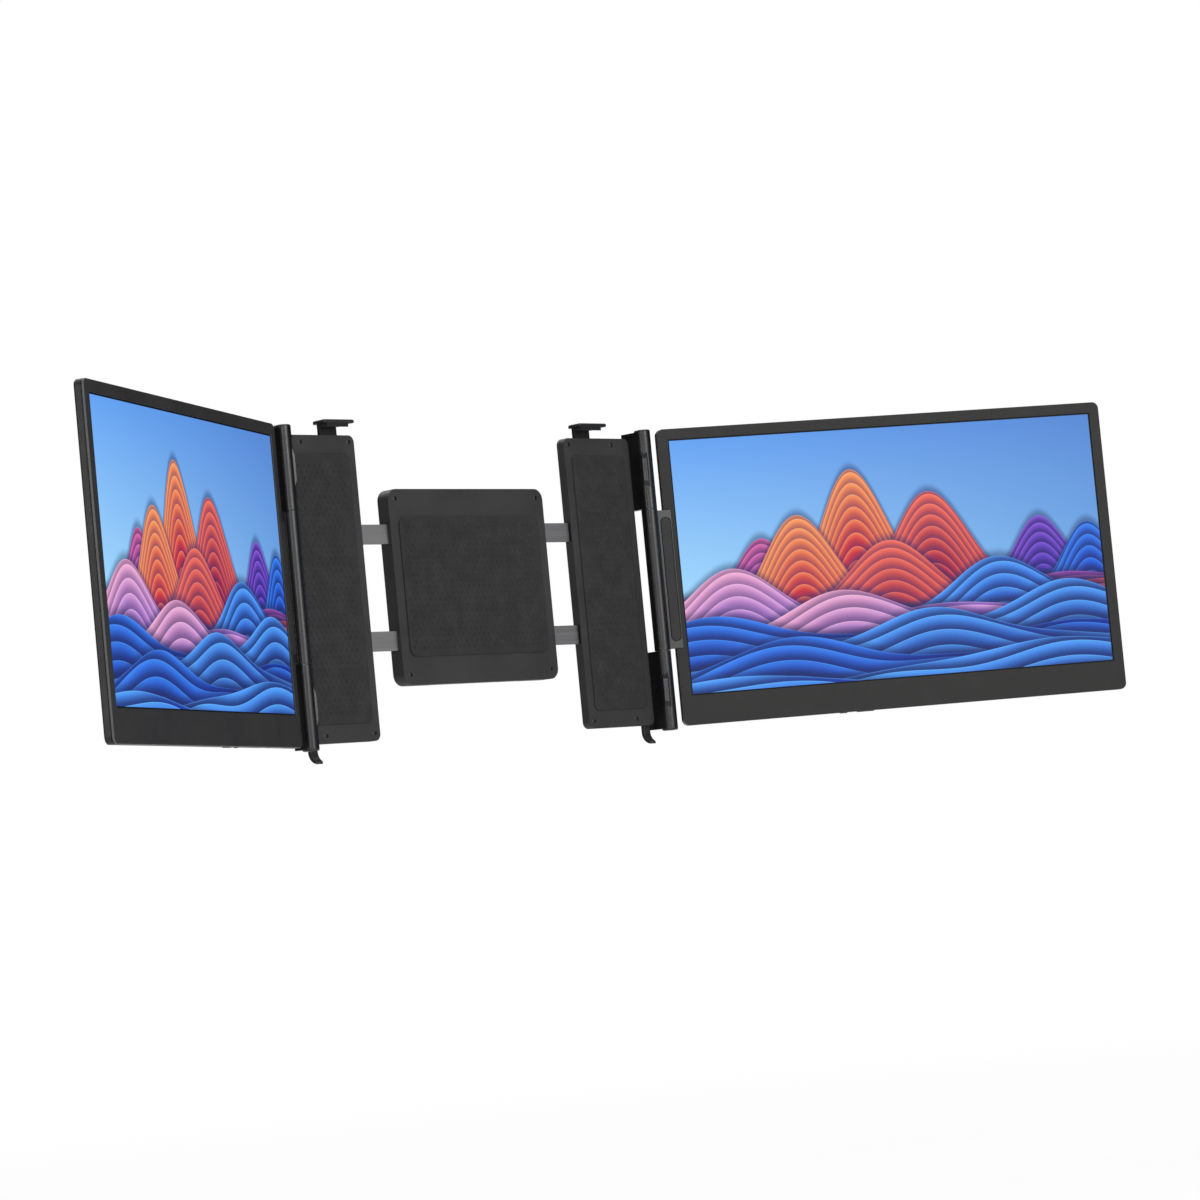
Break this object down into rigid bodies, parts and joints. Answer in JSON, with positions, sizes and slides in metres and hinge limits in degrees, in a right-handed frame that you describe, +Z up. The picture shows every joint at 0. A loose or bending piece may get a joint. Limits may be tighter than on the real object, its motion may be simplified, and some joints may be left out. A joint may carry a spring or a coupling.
{
  "type": "laptop screen extender",
  "caption": "Sliding lid bracket with a hinged display on each side, top clips, bottom hooks and a flip-out stand, for a laptop.",
  "frame": {"origin": "centre of the silicone pad that the lid's back rests on, halfway up the hinge barrels", "axes": "+X to the user's right, +Y away from the user, +Z up along the hinge axes"},
  "size_m": [1.0192, 0.2034, 0.2398],
  "materials": {
    "case_plastic": "fine satin moulded",
    "case_back": "dark anodised",
    "display": "lit display behind a matte film",
    "backlight": "satin",
    "circuit_board": "solder mask",
    "socket_metal": "bright",
    "screw_steel": "black zinc",
    "hinge_metal": "black satin coating",
    "pad_plastic": "satin",
    "plate_steel": "rolled",
    "bush_bronze": "sintered",
    "bracket_plastic": "fine grain moulded",
    "silicone": "soft matt",
    "bar_steel": "brushed along its length",
    "hook_metal": "black satin coating",
    "guide_plastic": "smooth",
    "button_plastic": "satin",
    "stand_metal": "dark anodised"
  },
  "bodies": {
    "centre": {"centre_front_cover": "bracket_plastic", "centre_rear_cover": "bracket_plastic", "lid_pad": "silicone", "bar_guides": "guide_plastic", "centre_screws": "screw_steel", "kickstand_pins": "plate_steel"},
    "left_arm": {"left_arm_front_plate": "bracket_plastic", "left_arm_housing": "bracket_plastic", "left_arm_pad": "silicone", "left_slide_bars": "bar_steel", "left_bottom_hook": "hook_metal", "left_arm_screws": "screw_steel", "left_upper_knuckle": "hinge_metal", "left_lower_knuckle": "hinge_metal", "left_knuckle_caps": "hinge_metal", "left_hinge_shafts": "plate_steel"},
    "left_clip": {"left_top_clip": "hook_metal", "left_clip_pad": "silicone"},
    "left_screen": {"left_front_bezel": "case_plastic", "left_back_cover": "case_back", "left_lcd_panel": "display", "left_backlight_tray": "backlight", "left_driver_board": "circuit_board", "left_usb_c_sockets": "socket_metal", "left_hdmi_socket": "socket_metal", "left_case_screws": "screw_steel", "left_hinge_sleeve": "hinge_metal", "left_hinge_cover_pad": "pad_plastic", "left_hinge_leaf": "plate_steel", "left_friction_bushes": "bush_bronze"},
    "left_power_button": {"left_power_button": "button_plastic"},
    "left_menu_rocker": {"left_menu_rocker": "button_plastic"},
    "right_arm": {"right_arm_front_plate": "bracket_plastic", "right_arm_housing": "bracket_plastic", "right_arm_pad": "silicone", "right_slide_bars": "bar_steel", "right_bottom_hook": "hook_metal", "right_arm_screws": "screw_steel", "right_upper_knuckle": "hinge_metal", "right_lower_knuckle": "hinge_metal", "right_knuckle_caps": "hinge_metal", "right_hinge_shafts": "plate_steel"},
    "right_clip": {"right_top_clip": "hook_metal", "right_clip_pad": "silicone"},
    "right_screen": {"right_front_bezel": "case_plastic", "right_back_cover": "case_back", "right_lcd_panel": "display", "right_backlight_tray": "backlight", "right_driver_board": "circuit_board", "right_usb_c_sockets": "socket_metal", "right_hdmi_socket": "socket_metal", "right_case_screws": "screw_steel", "right_hinge_sleeve": "hinge_metal", "right_hinge_cover_pad": "pad_plastic", "right_hinge_leaf": "plate_steel", "right_friction_bushes": "bush_bronze"},
    "right_power_button": {"right_power_button": "button_plastic"},
    "right_menu_rocker": {"right_menu_rocker": "button_plastic"},
    "kickstand": {"kickstand": "stand_metal", "kickstand_foot": "silicone"}
  },
  "joints": [
    {"name": "left_arm_slide", "type": "slide", "parent": "centre", "child": "left_arm", "axis": [-1, 0, 0], "range_m": [-0.025, 0.025]},
    {"name": "left_screen_hinge", "type": "hinge", "parent": "left_arm", "child": "left_screen", "pos_m": [-0.1816, -0.0086, 0], "axis": [0, 0, 1], "range_deg": [-59.5, 80.5]},
    {"name": "left_clip_slide", "type": "slide", "parent": "left_arm", "child": "left_clip", "axis": [0, 0, 1], "range_m": [0, 0.025]},
    {"name": "left_power_press", "type": "slide", "parent": "left_screen", "child": "left_power_button", "axis": [0, 0, 1], "range_m": [0, 0.0004], "stiffness_N_per_m": 1500, "springref_m": -0.0005},
    {"name": "left_menu_rock", "type": "hinge", "parent": "left_screen", "child": "left_menu_rocker", "pos_m": [-0.32189, -0.08171, -0.1084], "axis": [0.4924, -0.8704, 0], "range_deg": [-2.5, 2.5], "stiffness_Nm_per_rad": 0.3},
    {"name": "right_arm_slide", "type": "slide", "parent": "centre", "child": "right_arm", "axis": [1, 0, 0], "range_m": [-0.025, 0.025]},
    {"name": "right_screen_hinge", "type": "hinge", "parent": "right_arm", "child": "right_screen", "pos_m": [0.1816, -0.0086, 0], "axis": [0, 0, -1], "range_deg": [-59.5, 80.5]},
    {"name": "right_clip_slide", "type": "slide", "parent": "right_arm", "child": "right_clip", "axis": [0, 0, 1], "range_m": [0, 0.025]},
    {"name": "right_power_press", "type": "slide", "parent": "right_screen", "child": "right_power_button", "axis": [0, 0, 1], "range_m": [0, 0.0004], "stiffness_N_per_m": 1500, "springref_m": -0.0005},
    {"name": "right_menu_rock", "type": "hinge", "parent": "right_screen", "child": "right_menu_rocker", "pos_m": [0.32189, -0.08171, -0.1084], "axis": [-0.4924, -0.8704, 0], "range_deg": [-2.5, 2.5], "stiffness_Nm_per_rad": 0.3},
    {"name": "kickstand_flip", "type": "hinge", "parent": "centre", "child": "kickstand", "pos_m": [0, 0.01135, -0.062], "axis": [-1, 0, 0], "range_deg": [0, 150]}
  ]
}
